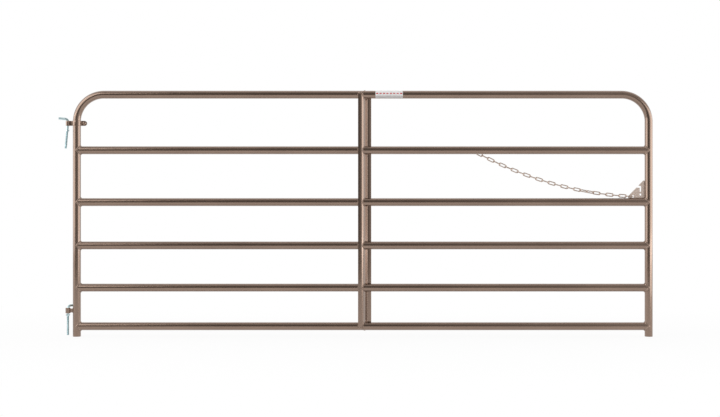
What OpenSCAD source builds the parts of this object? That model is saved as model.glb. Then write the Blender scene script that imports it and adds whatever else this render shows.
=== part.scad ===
// Six-rail tubular field gate: a leaf of bent and coped tube with a folded centre brace,
// a clamp-on upper hinge, a welded lower hinge, two loose hinge hooks and a chain latch.
// Millimetres, +Z up. The origin is on the hinge line at the level of the feet.
// +X runs along the leaf towards the latch, and -Y is the front.

/* [Leaf] */
// Length of the leaf over both uprights
leaf_length = 2997; // [2400:1:4900]
// Height from the feet to the top of the top rail
leaf_height = 1270; // [1240:1:1400]
// Outside diameter of the frame tube
tube_d = 41.3; // [38:0.1:44]
// Wall of the frame tube
tube_wall = 1.2; // [1:0.1:3]
// Centreline radius of the two corner bends
corner_radius = 140; // [100:1:145]
// Gap that a weld fills between two pieces
weld_gap = 0.2; // [0.1:0.05:0.5]

/* [Rails] */
// Height of the second rail's centre, counted from the top
rail_2_height = 962; // [940:1:985]
// Height of the third rail's centre
rail_3_height = 694; // [670:1:720]
// Height of the fourth rail's centre
rail_4_height = 470; // [440:1:500]
// Height of the fifth rail's centre
rail_5_height = 252; // [220:1:290]
// Height of the bottom rail's centre
bottom_rail_height = 52.5; // [45:0.5:60]

/* [Centre brace] */
// Thickness of the folded sheet
brace_thickness = 2; // [1.5:0.1:3]
// Front fold line, counted from the middle of the leaf
brace_shift = -1; // [-40:1:40]
// Front flange from its edge to the fold line
brace_front_flange = 23.5; // [20:0.5:45]
// Rear flange from the fold line to its edge
brace_rear_flange = 21.5; // [12:0.5:40]
// Angle between the web and the flanges
brace_web_angle = 62; // [50:1:75]
// Mid-sheet radius of the front fold
brace_front_bend = 18; // [6:0.5:20]
// Mid-sheet radius of the rear fold
brace_rear_bend = 5; // [4:0.5:10]
// How far the brace runs past the top and bottom rails' centres
brace_overrun = 5; // [2:0.5:10]
// Room round a rail in the web's holes
brace_hole_room = 0.3; // [0.2:0.05:0.5]
// Room between a flange and the rails
brace_flange_room = 0.6; // [0.5:0.05:1]

/* [Hinge line] */
// Distance from the hinge line to the upright's centre
hinge_reach = 46; // [44:0.5:60]
// Bore of both hinge eyes
eye_bore = 15.9; // [15.5:0.1:18]

/* [Upper hinge clamp] */
// Height of the clamp's middle
clamp_height = 1101; // [1060:1:1101]
// Width of the folded strap
strap_width = 25.4; // [20:0.1:28]
// Thickness of the strap
strap_thickness = 3.2; // [2.5:0.1:4]
// Room between the strap and the upright
strap_room = 0.3; // [0.2:0.05:0.5]
// Slit between the two plies of the neck
neck_slit = 0.4; // [0.2:0.1:1]
// Length of the ears past the upright
ear_length = 31.5; // [28:0.5:40]
// Gap between the two ears
ear_gap = 6.4; // [3:0.1:10]
// Diameter of the clamp bolt
clamp_bolt_d = 9.5; // [8:0.1:10]
// Room round the bolt in the ears
clamp_bolt_room = 0.3; // [0.2:0.05:0.5]
// Diameter of the bolt's domed head
clamp_head_d = 20; // [18:0.5:22]
// Height of the domed head
clamp_head_h = 5; // [3:0.1:7]
// Outside diameter of the washer
clamp_washer_d = 21; // [18:0.5:24]
// Thickness of the washer
clamp_washer_t = 1.8; // [1:0.1:3]
// Width of the clamp nut across its flats
clamp_nut_flats = 14.3; // [13:0.1:17]
// Height of the clamp nut
clamp_nut_h = 8; // [5:0.1:10]
// Bolt end past the nut
clamp_bolt_end = 4; // [1:0.5:15]

/* [Lower hinge] */
// Height of the lower eye's middle
lower_eye_height = 134; // [130:1:150]
// Outside diameter of the lower eye
lower_eye_d = 25.4; // [22:0.1:28]
// Length of the lower eye
lower_eye_length = 28; // [22:0.5:32]
// Height of the plate between eye and upright
neck_height = 20; // [14:0.5:24]
// Thickness of that plate
neck_thickness = 8; // [5:0.5:10]

/* [Hinge hooks] */
// Diameter of the hook rod
hook_d = 12.7; // [11:0.1:13]
// Length from the arm's centre to the end of the shank
hook_length = 152.4; // [130:0.5:153]
// Arm length from the shank's centre to its tip
hook_arm = 50; // [40:0.5:60]
// Centreline radius of the elbow
hook_bend = 16; // [10:0.5:19]
// Room between an eye's rim and the elbow resting on it
hook_seat_room = 0.4; // [0.3:0.05:1]
// Chamfer on both ends of the rod
hook_chamfer = 1.2; // [0.5:0.1:2]
// How far the thread's mean surface lies below the plain rod, on the shank's free end
hook_thread_relief = 0.4; // [0.2:0.05:0.8]
// Distance from a hook's nut down to the full thread
hook_thread_gap = 1; // [0.5:0.5:5]
// Lean of the upper hook in its eye, in degrees
upper_hook_lean = 5.2; // [0:0.1:6]
// Direction of the upper hook's arm, in degrees from +X
upper_hook_turn = 180; // [120:1:240]
// Direction of the lower hook's arm, in degrees from +X
lower_hook_turn = 44; // [43:1:300]
// Distance from the upper eye down to its hook's nut
upper_nut_drop = 20; // [5:0.5:60]
// Distance from the lower eye down to its hook's nut
lower_nut_drop = 5; // [2:0.5:60]
// Width of the hook nuts across their flats
hook_nut_flats = 19; // [17:0.1:22]
// Height of the hook nuts
hook_nut_h = 8; // [6:0.1:12]
// Room between a nut and the rod or bolt that it is on
nut_room = 0.1; // [0.05:0.05:0.2]

/* [Latch plate] */
// Thickness of the plate
plate_thickness = 4; // [3:0.1:4.2]
// Height of the plate along the upright
plate_height = 91; // [84:0.5:98]
// Radius at the plate's apex
plate_apex_radius = 5; // [4:0.5:7]
// Slope of the plate's upper edge, in degrees
plate_slope = 46; // [44:0.5:48]
// Height of the blunt toe along the rail
plate_toe_height = 10; // [9:0.5:12]
// Rounding of the plate's corners
plate_rounding = 2; // [1:0.25:2.5]
// Distance from the upright to the slot's centre
slot_reach = 22; // [20:0.5:24]
// Width of the slot
slot_width = 7.2; // [6.5:0.1:9]
// Height of the slot's mouth above the rail, to its middle
slot_mouth_height = 58.5; // [56:0.1:60]
// Width of the slot's mouth
slot_mouth_width = 9; // [8.2:0.1:10]
// Height of the slot's round foot above the rail
slot_foot_height = 36.5; // [33:0.5:40]
// Diameter of the round hole below the slot
low_hole_d = 10; // [8:0.1:12]
// Height of that hole above the rail
low_hole_height = 18.5; // [15:0.5:20]
// Distance from the upright to the chain hole's centre
chain_hole_reach = 60; // [56:0.5:63]
// Height of the chain hole's centre above the rail
chain_hole_height = 8.5; // [8:0.1:9]
// Width of the chain hole
chain_hole_width = 9.5; // [8.5:0.1:10.5]
// Length of the chain hole
chain_hole_length = 13.5; // [12.5:0.1:14]

/* [Chain] */
// Number of links
chain_links = 25; // [22:1:27]
// Wire diameter of the links
link_wire = 5.5; // [5:0.1:5.8]
// Inside length of a link
link_inside_length = 34; // [33:0.1:36]
// Inside width of a link
link_inside_width = 8.5; // [8.2:0.1:9.5]
// Play between two links
link_play = 0.25; // [0.2:0.05:0.5]
// Room between the last link and the edge of the chain hole
chain_hole_room = 1.6; // [1.5:0.1:2]
// Fall of the chain at the plate, as a slope
chain_end_fall = 0.05; // [0:0.01:0.1]
// First link of the stretch where the chain turns over
twist_from_link = 16; // [4:1:18]
// Number of links that the turn takes
twist_links = 5; // [5:1:8]

/* [Chain keeper] */
// Diameter of the keeper rod
keeper_d = 4.5; // [4:0.1:4.8]
// Height of the chain's first contact below the second rail's centre
keeper_drop = 10; // [6:0.5:12]
// Distance from the rail's back to the first link's middle
keeper_reach = 7.5; // [7:0.1:12]
// Straight rod past the first link's middle
keeper_straight = 4; // [3.5:0.1:8]
// Centreline radius of the keeper's elbow
keeper_bend = 5; // [4:0.5:8]
// Height of the keeper's upturned tip
keeper_tip = 9; // [4:0.5:15]

/* [Label] */
// Label's centre, counted from the middle of the leaf
label_shift = 136; // [120:1:600]
// Length of the label along the top rail
label_length = 141; // [60:1:180]
// Thickness of the label
label_thickness = 0.25; // [0.2:0.05:0.5]
// Thickness of the glue under the label
label_glue = 0.1; // [0.05:0.05:0.2]
// Upper edge of the label, in degrees above the front
label_top_angle = 78; // [40:1:85]
// Lower edge of the label, in degrees below the front
label_bottom_angle = 66; // [30:1:80]

/* [Hidden] */
$fn = 96;
rounding_steps = 48;
fold_steps = 12;
cut = 1;
paint = [0.40, 0.31, 0.26];
zinc = [0.74, 0.77, 0.78];
chain_zinc = [0.55, 0.54, 0.50];
white = [0.95, 0.95, 0.95];

tube_r = tube_d / 2;
tube_bore_r = tube_r - tube_wall;
left_x = hinge_reach;
right_x = left_x + leaf_length - tube_d;
middle_x = (left_x + right_x) / 2;
top_z = leaf_height - tube_r;
corner_z = top_z - corner_radius;
rail_heights = [rail_2_height, rail_3_height, rail_4_height, rail_5_height, bottom_rail_height];

// Centre brace, seen from above: mid-sheet lines of the flanges and the slanted web
flange_y = tube_r + brace_flange_room + brace_thickness / 2;
front_fold_x = middle_x + brace_shift;
rear_fold_x = front_fold_x + 2 * flange_y / tan(brace_web_angle);
front_tangent = brace_front_bend * tan(brace_web_angle / 2);
rear_tangent = brace_rear_bend * tan(brace_web_angle / 2);
brace_width = brace_front_flange + rear_fold_x - front_fold_x + brace_rear_flange;
brace_foot = bottom_rail_height - brace_overrun;
brace_length = top_z + brace_overrun - brace_foot;

// Upper hinge clamp
eye_r = eye_bore / 2;
strap_eye_r = eye_r + strap_thickness;
band_inner_r = tube_r + strap_room;
band_outer_r = band_inner_r + strap_thickness;
ear_end_x = left_x + tube_r + ear_length;
ear_round_x = ear_end_x - strap_width / 2;
ear_face_y = ear_gap / 2 + strap_thickness;
clamp_bolt_x = (left_x + band_outer_r + ear_end_x) / 2;
clamp_nut_y = ear_face_y + clamp_washer_t;
clamp_bolt_length = ear_face_y + clamp_nut_y + clamp_nut_h + clamp_bolt_end;
clamp_dome_r = (pow(clamp_head_d / 2, 2) + pow(clamp_head_h, 2)) / (2 * clamp_head_h);

// Hinge hooks
hook_r = hook_d / 2;
hook_thread_r = hook_r - hook_thread_relief;
elbow_inner_r = hook_bend - hook_r;

// Latch plate, with its corner at the upright and the third rail
plate_corner_x = right_x - tube_r - weld_gap;
plate_corner_z = rail_3_height + tube_r + weld_gap;
plate_slope_x = plate_apex_radius * (1 + sin(plate_slope));
plate_slope_z = plate_height - plate_apex_radius * (1 - cos(plate_slope));
plate_toe_x = plate_slope_x + (plate_slope_z - plate_toe_height) / tan(plate_slope);

// Chain: equal links hang with their slope falling off in equal steps from keeper to plate
link_pitch = link_inside_length - link_play;
link_r = (link_inside_width + link_wire) / 2;
link_straight = link_inside_length - link_inside_width;
chain_end_x = plate_corner_x - chain_hole_reach - chain_hole_width / 2 + chain_hole_room;
chain_end_z = plate_corner_z + chain_hole_height;
chain_start_y = tube_r + keeper_reach;
chain_start_z = rail_2_height - keeper_drop;
chain_drop = chain_start_z - chain_end_z;
steepest_step = 0.2;
search_steps = 40;

function fall(i, step) = atan(chain_end_fall + (chain_links - i) * step);
function run_z(i, step) = i < 1 ? 0 : run_z(i - 1, step) + link_pitch * sin(fall(i, step));
function run_x(i, step) = i < 1 ? 0 : run_x(i - 1, step) + link_pitch * cos(fall(i, step));
function hanging_step(low, high, tries) =
    let (mid = (low + high) / 2)
    tries == 0 ? mid
    : run_z(chain_links, mid) < chain_drop ? hanging_step(mid, high, tries - 1)
    : hanging_step(low, mid, tries - 1);

slope_step = hanging_step(0, steepest_step, search_steps);
chain_run = run_x(chain_links, slope_step);
chain_yaw = -asin(chain_start_y / chain_run);
chain_start_x = chain_end_x - chain_run * cos(chain_yaw);
chain_turn_over = chain_links % 2 == 1 ? 90 : 0;
function link_twist(i) = chain_turn_over * min(max((i - twist_from_link) / twist_links, 0), 1);
function link_roll(i) = (i % 2 == 1 ? 0 : 90) + link_twist(i);

keeper_r = keeper_d / 2;
keeper_offset = keeper_r + link_play / 2;
keeper_x = chain_start_x + keeper_offset * cos(fall(1, slope_step));
keeper_z = chain_start_z - keeper_offset * sin(fall(1, slope_step));
keeper_elbow_y = chain_start_y + keeper_straight;

function two_digits(i) = str(i < 10 ? "0" : "", i);
rail_names = ["rail_2", "rail_3", "rail_4", "rail_5", "bottom_rail"];
link_names = [for (i = [1 : chain_links]) str("chain_link_", two_digits(i))];

// A rod or bore that follows the hoop: up one upright, round both corners and down the other
module hoop_run(r, past_feet) {
    for (x = [left_x, right_x])
        translate([x, 0, -past_feet])
            cylinder(r = r, h = corner_z + past_feet);
    translate([left_x + corner_radius, 0, top_z])
        rotate([0, 90, 0])
            cylinder(r = r, h = right_x - left_x - 2 * corner_radius);
    translate([right_x - corner_radius, 0, corner_z])
        rotate([90, 0, 0])
            quarter_bend(corner_radius, r);
    translate([left_x + corner_radius, 0, corner_z])
        rotate([90, 0, 0])
            rotate([0, 0, 90])
                quarter_bend(corner_radius, r);
}

// A quarter turn of rod in the XY plane, from +X to +Y about the origin
module quarter_bend(bend, r) {
    rotate_extrude(angle = 90)
        translate([bend, 0])
            circle(r = r);
}

module rod_x(r, length) {
    rotate([0, 90, 0])
        cylinder(r = r, h = length);
}

module rod_y(r, length) {
    rotate([-90, 0, 0])
        cylinder(r = r, h = length);
}

// A rod from z = 0 up, chamfered at its top
module chamfered_rod(r, length, chamfer) {
    rotate_extrude()
        polygon([[0, 0], [r, 0], [r, length - chamfer], [r - chamfer, length], [0, length]]);
}

// A rod from z = 0 up, plain and then threaded, chamfered at its top
module threaded_rod(r, plain, thread_r, length, chamfer) {
    rotate_extrude()
        polygon([
            [0, 0],
            [r, 0],
            [r, plain],
            [thread_r, plain],
            [thread_r, length - chamfer],
            [thread_r - chamfer, length],
            [0, length]
        ]);
}

// A hexagonal nut along +Z with both faces chamfered
module hex_nut(flats, height, bore_r) {
    corner_r = flats / 2 / cos(30);
    edge_drop = (corner_r - flats / 2) * tan(30);
    difference() {
        intersection() {
            cylinder(r = corner_r, h = height, $fn = 6);
            rotate_extrude()
                polygon([
                    [0, 0],
                    [flats / 2, 0],
                    [corner_r, edge_drop],
                    [corner_r, height - edge_drop],
                    [flats / 2, height],
                    [0, height]
                ]);
        }
        translate([0, 0, -cut])
            cylinder(r = bore_r, h = height + 2 * cut);
    }
}

module frame_hoop() {
    color(paint)
        difference() {
            hoop_run(tube_r, 0);
            hoop_run(tube_bore_r, cut);
        }
}

// A rail whose ends are coped to sit against the uprights
module rail(height) {
    length = right_x - left_x;
    color(paint)
        translate([left_x, 0, height])
            difference() {
                rod_x(tube_r, length);
                translate([-cut, 0, 0])
                    rod_x(tube_bore_r, length + 2 * cut);
                for (x = [0, length])
                    translate([x, 0, -tube_d])
                        cylinder(r = tube_r + weld_gap, h = 2 * tube_d);
            }
}

// One face of the brace from front edge to rear edge, seen from above, set off from mid-sheet
function brace_face(offset) = concat(
    [[front_fold_x - brace_front_flange, offset - flange_y]],
    [for (k = [0 : fold_steps])
        let (a = brace_web_angle * k / fold_steps - 90)
        [front_fold_x - front_tangent, brace_front_bend - flange_y]
            + (brace_front_bend - offset) * [cos(a), sin(a)]],
    [for (k = [fold_steps : -1 : 0])
        let (a = brace_web_angle * k / fold_steps + 90)
        [rear_fold_x + rear_tangent, flange_y - brace_rear_bend]
            + (brace_rear_bend + offset) * [cos(a), sin(a)]],
    [[rear_fold_x + brace_rear_flange, flange_y + offset]]
);

function reversed(points) = [for (i = [len(points) - 1 : -1 : 0]) points[i]];

module centre_brace() {
    half_sheet = brace_thickness / 2;
    color(paint)
        difference() {
            translate([0, 0, brace_foot])
                linear_extrude(brace_length)
                    polygon(concat(brace_face(half_sheet), reversed(brace_face(-half_sheet))));
            for (z = concat([top_z], rail_heights))
                translate([front_fold_x - brace_front_flange, 0, z])
                    rod_x(tube_r + brace_hole_room, brace_width);
        }
}

// Plate outline with its corner at the origin: X towards the upright, Y up it
module plate_outline() {
    offset(r = plate_rounding, $fn = rounding_steps)
        offset(delta = -plate_rounding)
            difference() {
                polygon(concat(
                    [[0, 0]],
                    [for (i = [0 : rounding_steps])
                        let (a = i / rounding_steps * (90 + plate_slope))
                        plate_apex_radius * [cos(a) - 1, sin(a) - 1] + [0, plate_height]],
                    [[-plate_toe_x, plate_toe_height], [-plate_toe_x, 0]]
                ));
                latch_slot();
            }
}

// A side mouth and a slot down from it
module latch_slot() {
    mouth_end = slot_reach - slot_width / 2 + slot_mouth_width / 2;
    translate([-mouth_end, slot_mouth_height])
        circle(d = slot_mouth_width);
    translate([-plate_toe_x, slot_mouth_height - slot_mouth_width / 2])
        square([plate_toe_x - mouth_end, slot_mouth_width]);
    translate([-slot_reach - slot_width / 2, slot_foot_height])
        square([slot_width, slot_mouth_height - slot_foot_height]);
    translate([-slot_reach, slot_foot_height])
        circle(d = slot_width);
}

module latch_plate() {
    hole_half = (chain_hole_length - chain_hole_width) / 2;
    color(paint)
        translate([plate_corner_x, 0, plate_corner_z])
            difference() {
                rotate([90, 0, 0])
                    linear_extrude(plate_thickness, center = true)
                        plate_outline();
                translate([-slot_reach, -plate_thickness, low_hole_height])
                    rod_y(low_hole_d / 2, 2 * plate_thickness);
                for (side = [-1, 1])
                    translate([-chain_hole_reach, -plate_thickness, chain_hole_height + side * hole_half])
                        rod_y(chain_hole_width / 2, 2 * plate_thickness);
                translate([
                    -chain_hole_reach - chain_hole_width / 2,
                    -plate_thickness,
                    chain_hole_height - hole_half
                ])
                    cube([chain_hole_width, 2 * plate_thickness, 2 * hole_half]);
            }
}

// A bent rod on the back of the second rail, with its tip turned up
module chain_keeper() {
    color(paint)
        difference() {
            translate([keeper_x, 0, keeper_z]) {
                rod_y(keeper_r, keeper_elbow_y);
                translate([0, keeper_elbow_y, keeper_bend])
                    rotate([0, 90, 0])
                        quarter_bend(keeper_bend, keeper_r);
                translate([0, keeper_elbow_y + keeper_bend, keeper_bend])
                    cylinder(r = keeper_r, h = keeper_tip);
            }
            translate([keeper_x - keeper_d, 0, rail_2_height])
                rod_x(tube_r + weld_gap, 2 * keeper_d);
        }
}

module label() {
    color(white)
        translate([middle_x + label_shift - label_length / 2, 0, top_z])
            rotate([0, 90, 0])
                rotate([0, 0, 270 - label_top_angle])
                    rotate_extrude(angle = label_top_angle + label_bottom_angle)
                        translate([tube_r + label_glue, 0])
                            square([label_thickness, label_length]);
}

// One folded strip: eye, two-ply neck, band round the upright and two ears
module upper_hinge_strap() {
    color(paint)
        translate([0, 0, clamp_height - strap_width / 2])
            difference() {
                union() {
                    cylinder(r = strap_eye_r, h = strap_width);
                    translate([left_x, 0, 0])
                        cylinder(r = band_outer_r, h = strap_width);
                    translate([0, -strap_thickness - neck_slit / 2, 0])
                        cube([left_x, 2 * strap_thickness + neck_slit, strap_width]);
                    translate([left_x, -ear_face_y, 0])
                        cube([ear_round_x - left_x, 2 * ear_face_y, strap_width]);
                    translate([ear_round_x, -ear_face_y, strap_width / 2])
                        rod_y(strap_width / 2, 2 * ear_face_y);
                }
                translate([0, 0, -cut])
                    cylinder(r = eye_r, h = strap_width + 2 * cut);
                translate([left_x, 0, -cut])
                    cylinder(r = band_inner_r, h = strap_width + 2 * cut);
                translate([0, -neck_slit / 2, -cut])
                    cube([left_x, neck_slit, strap_width + 2 * cut]);
                translate([left_x, -ear_gap / 2, -cut])
                    cube([ear_end_x - left_x + cut, ear_gap, strap_width + 2 * cut]);
                translate([clamp_bolt_x, -ear_face_y - cut, strap_width / 2])
                    rod_y(clamp_bolt_d / 2 + clamp_bolt_room, 2 * (ear_face_y + cut));
            }
}

module on_clamp_bolt(y) {
    translate([clamp_bolt_x, y, clamp_height])
        rotate([-90, 0, 0])
            children();
}

module clamp_bolt() {
    color(paint)
        on_clamp_bolt(-ear_face_y) {
            cylinder(d = clamp_bolt_d, h = clamp_bolt_length);
            rotate([180, 0, 0])
                rotate_extrude()
                    intersection() {
                        translate([0, clamp_head_h - clamp_dome_r])
                            circle(r = clamp_dome_r);
                        square([clamp_head_d / 2, clamp_head_h]);
                    }
        }
}

module clamp_washer() {
    color(paint)
        on_clamp_bolt(ear_face_y)
            difference() {
                cylinder(d = clamp_washer_d, h = clamp_washer_t);
                translate([0, 0, -cut])
                    cylinder(r = clamp_bolt_d / 2 + clamp_bolt_room, h = clamp_washer_t + 2 * cut);
            }
}

module clamp_nut() {
    color(paint)
        on_clamp_bolt(clamp_nut_y)
            hex_nut(clamp_nut_flats, clamp_nut_h, clamp_bolt_d / 2 + nut_room);
}

module lower_hinge_eye() {
    color(paint)
        translate([0, 0, lower_eye_height - lower_eye_length / 2])
            difference() {
                cylinder(d = lower_eye_d, h = lower_eye_length);
                translate([0, 0, -cut])
                    cylinder(r = eye_r, h = lower_eye_length + 2 * cut);
            }
}

module lower_hinge_neck() {
    color(paint)
        translate([0, 0, lower_eye_height - neck_height / 2])
            difference() {
                translate([0, -neck_thickness / 2, 0])
                    cube([left_x, neck_thickness, neck_height]);
                translate([0, 0, -cut])
                    cylinder(r = lower_eye_d / 2 + weld_gap, h = neck_height + 2 * cut);
                translate([left_x, 0, -cut])
                    cylinder(r = tube_r + weld_gap, h = neck_height + 2 * cut);
            }
}

// Height at which a hook's elbow starts, so that it rests on the near rim of its eye
function elbow_start(eye_length, lean) =
    let (
        rim_x = eye_r * cos(lean) + eye_length / 2 * sin(lean),
        rim_z = eye_length / 2 * cos(lean) - eye_r * sin(lean),
        inset = max(hook_bend - rim_x, 0)
    )
    rim_z + hook_seat_room - sqrt(max(pow(elbow_inner_r, 2) - pow(inset, 2), 0));

// Distance from an eye's middle down to the lower face of its hook's nut
function nut_foot(eye_length, drop) = eye_length / 2 + drop + hook_nut_h;

// Places children in a hook's own frame: eye's middle at the origin, arm towards +X
module in_eye(height, turn, lean) {
    translate([0, 0, height])
        rotate([0, 0, turn])
            rotate([0, -lean, 0])
                children();
}

module hook(eye_length, lean, drop) {
    start = elbow_start(eye_length, lean);
    plain = start + nut_foot(eye_length, drop) + hook_thread_gap;
    color(zinc)
        translate([0, 0, start]) {
            rotate([180, 0, 0])
                threaded_rod(hook_r, plain, hook_thread_r, hook_length - hook_bend, hook_chamfer);
            translate([hook_bend, 0, 0])
                rotate([90, 0, 0])
                    rotate([0, 0, 90])
                        quarter_bend(hook_bend, hook_r);
            translate([hook_bend, 0, hook_bend])
                rotate([0, 90, 0])
                    chamfered_rod(hook_r, hook_arm - hook_bend, hook_chamfer);
        }
}

module hook_nut(eye_length, drop) {
    color(zinc)
        translate([0, 0, -nut_foot(eye_length, drop)])
            hex_nut(hook_nut_flats, hook_nut_h, hook_r + nut_room);
}

module upper_hook() {
    in_eye(clamp_height, upper_hook_turn, upper_hook_lean)
        hook(strap_width, upper_hook_lean, upper_nut_drop);
}

module upper_hook_nut() {
    in_eye(clamp_height, upper_hook_turn, upper_hook_lean)
        hook_nut(strap_width, upper_nut_drop);
}

module lower_hook() {
    in_eye(lower_eye_height, lower_hook_turn, 0)
        hook(lower_eye_length, 0, lower_nut_drop);
}

module lower_hook_nut() {
    in_eye(lower_eye_height, lower_hook_turn, 0)
        hook_nut(lower_eye_length, lower_nut_drop);
}

// A link in the XZ plane, its length along X
module link() {
    rotate([90, 0, 0])
        for (side = [0, 180])
            rotate([0, 0, side]) {
                translate([link_straight / 2, 0, 0])
                    rotate([0, 0, -90])
                        rotate_extrude(angle = 180)
                            translate([link_r, 0])
                                circle(d = link_wire);
                translate([-link_straight / 2, link_r, 0])
                    rod_x(link_wire / 2, link_straight);
            }
}

module chain_link(i) {
    color(chain_zinc)
        translate([chain_start_x, chain_start_y, chain_start_z])
            rotate([0, 0, chain_yaw])
                translate([run_x(i - 1, slope_step), 0, -run_z(i - 1, slope_step)])
                    rotate([0, fall(i, slope_step), 0])
                        translate([link_pitch / 2, 0, 0])
                            rotate([link_roll(i), 0, 0])
                                link();
}

frame_hoop();
for (i = [0 : len(rail_names) - 1])
    rail(rail_heights[i]);
centre_brace();
latch_plate();
chain_keeper();
label();
upper_hinge_strap();
clamp_bolt();
clamp_washer();
clamp_nut();
lower_hinge_eye();
lower_hinge_neck();
upper_hook();
upper_hook_nut();
lower_hook();
lower_hook_nut();
for (i = [1 : chain_links])
    chain_link(i);
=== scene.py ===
"""Looks of a six-rail tubular field gate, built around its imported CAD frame.

Metres, +Z up. The origin is on the hinge line at the level of the feet, +X runs along the
leaf towards the latch, and -Y is the front.
"""

import math

import bmesh
import bpy
import numpy as np
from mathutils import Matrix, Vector


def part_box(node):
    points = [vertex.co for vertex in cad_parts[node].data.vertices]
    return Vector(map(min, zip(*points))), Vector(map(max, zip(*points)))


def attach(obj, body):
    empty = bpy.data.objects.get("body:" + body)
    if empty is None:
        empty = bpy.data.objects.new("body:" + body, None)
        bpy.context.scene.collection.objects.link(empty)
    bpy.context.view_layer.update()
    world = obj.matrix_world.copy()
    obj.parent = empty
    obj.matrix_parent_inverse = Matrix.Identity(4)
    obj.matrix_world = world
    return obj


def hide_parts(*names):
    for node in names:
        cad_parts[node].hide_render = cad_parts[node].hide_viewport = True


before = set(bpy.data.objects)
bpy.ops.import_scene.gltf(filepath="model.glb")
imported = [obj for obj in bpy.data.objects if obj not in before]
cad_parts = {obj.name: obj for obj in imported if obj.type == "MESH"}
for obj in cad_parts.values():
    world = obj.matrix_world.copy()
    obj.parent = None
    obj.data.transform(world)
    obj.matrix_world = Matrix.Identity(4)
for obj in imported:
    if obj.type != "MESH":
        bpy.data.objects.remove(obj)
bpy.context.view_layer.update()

QUARTER = math.pi / 2
FULL_TURN = 2 * math.pi
ACROSS, BACK, UP = (1, 0, 0), (0, 1, 0), (0, 0, 1)
WHITE = (1, 1, 1, 1)
ROD_SIDES = 24
RING_SIDES = 64

# Frame tube
TUBE_R = 0.02065
TUBE_WALL = 0.0012
CORNER_R = 0.140
RIM_ROUND = 0.0003
WELD_GAP = 0.0002
TUBE_SIDES = 72
UPRIGHT_STEPS = 12
TOP_STEPS = 24
RAIL_STEPS = 16
BEND_STEPS = 40
BEND_FLATTENING_SHARE = 0.025
BEND_WIDENING_SHARE = 0.0125

# Centre brace
BRACE_SHEET = 0.002
BRACE_WEB_ANGLE = math.radians(62)
BRACE_FRONT_BEND = 0.018
BRACE_REAR_BEND = 0.005
BRACE_FRONT_FLANGE = 0.0235
BRACE_STEPS = 24
FOLD_STEPS = 24
EDGE_STEPS = 6

# Pieces cut from plate: their rounded edges, and the area from which a face is shaded flat
PLATE_EDGE = 0.0004
NECK_EDGE = 0.0006
LABEL_EDGE = 0.00005
EDGE_SEGMENTS = 2
FLAT_FACE = 2e-4
SAME_PLACE = 1e-6
SAME_PLANE = math.radians(0.5)

# Angles in degrees from which an edge is shaded sharp, or rounded
SHARP = 35
SHARP_ON_WELD = 80
SHARP_ON_NUT = 25
SHARP_ON_PLATE = 50
ROUNDED_FROM = 30
LABEL_ROUNDED_FROM = 60

# Threads and nuts
THREAD_SIDES = 28
THREAD_RINGS_PER_TURN = 7
THREAD_FADE_TURNS = 1.5
THREAD_FLANK = 1.5
THREAD_CREST = 0.25
NUT_SIDES = 72
NUT_FACE_SHARE = 0.97
NUT_CHAMFER = math.radians(30)
NUT_LEAD_IN = 0.0006
NUT_ROOM = 0.0001

# Hooks
HOOK_R = 0.00635
HOOK_THREAD_R = 0.00625
HOOK_LENGTH = 0.1524
HOOK_ARM = 0.050
HOOK_BEND = 0.016
HOOK_CHAMFER = 0.0012
HOOK_SEAT_ROOM = 0.0004
HOOK_NUT_FLATS = 0.019
HOOK_NUT_H = 0.008
HOOK_THREAD_PITCH = 0.00195
HOOK_THREAD_DEPTH = 0.0009
HOOK_THREAD_DROP = 0.001
HOOK_THREAD_JOIN = 0.0005
HOOK_STRAIGHT_STEPS = 6
HOOK_BEND_STEPS = 16
HOOK_ARM_STEPS = 5
UPPER_HOOK_LEAN = math.radians(5.2)
UPPER_HOOK_TURN = math.radians(180)
UPPER_NUT_DROP = 0.020
LOWER_HOOK_TURN = math.radians(44)
LOWER_NUT_DROP = 0.005
EYE_BORE_R = 0.00795
EYE_SOFTENING = 0.0008

# Upper hinge strap, a strip folded round the eye and the upright, and its bolt
STRAP_SHEET = 0.0032
STRAP_ROOM = 0.0003
STRAP_EDGE = 0.0005
NECK_SLIT = 0.0004
NECK_BEND = 0.0045
EAR_GAP = 0.0064
EAR_BEND = 0.006
EAR_TIP_START = math.radians(86)
EAR_TIP_STEPS = 14
STRAP_STRAIGHT_STEPS = 4
STRAP_BEND_STEPS = 12
STRAP_BAND_STEPS = 40
STRAP_EYE_STEPS = 30
STRAP_EDGE_STEPS = 4
CLAMP_BOLT_R = 0.00475
CLAMP_BOLT_PITCH = 0.0016
CLAMP_BOLT_DEPTH = 0.0007
CLAMP_BOLT_CHAMFER = 0.0008
CLAMP_THREAD_BEFORE_NUT = 0.004
CLAMP_THREAD_JOIN = 0.0003
CLAMP_HEAD_FILLET = 0.0002
CLAMP_NUT_FLATS = 0.0143
DOME_STEPS = 10
DOME_START_ANGLE = 0.05
WASHER_ROOM = 0.0003
WASHER_SOFTENING = 0.0003

# Chain links and keeper
LINK_WIRE_R = 0.00275
LINK_INSIDE_LENGTH = 0.034
LINK_INSIDE_WIDTH = 0.0085
LINK_WELD_SWELL_SHARE = 0.10
LINK_WELD_FALL = 2
LINK_SIDE_STEPS = 13
LINK_END_STEPS = 15
LINK_SIDES = 16
KEEPER_BEND = 0.005
KEEPER_TIP_ROUND_SHARE = 0.35
KEEPER_TIP_RADIUS_SHARES = (0.9, 0.6)
KEEPER_FOOT_SHARE = 0.92
KEEPER_WELD_R = 0.00176
KEEPER_STRAIGHT_STEPS = 6
KEEPER_BEND_STEPS = 12
KEEPER_RISE_STEPS = 4
KEEPER_TIP_STEPS = 3
KEEPER_FOOT_STEPS = 40

# Label, in shares of its height and of a dash's pitch
LABEL_DASHES = 8
LABEL_DASH_HALF_SHARE = 0.32
LABEL_LINE_HEIGHT_SHARE = 0.60
LABEL_LINE_HALF_SHARE = 0.08

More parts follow.
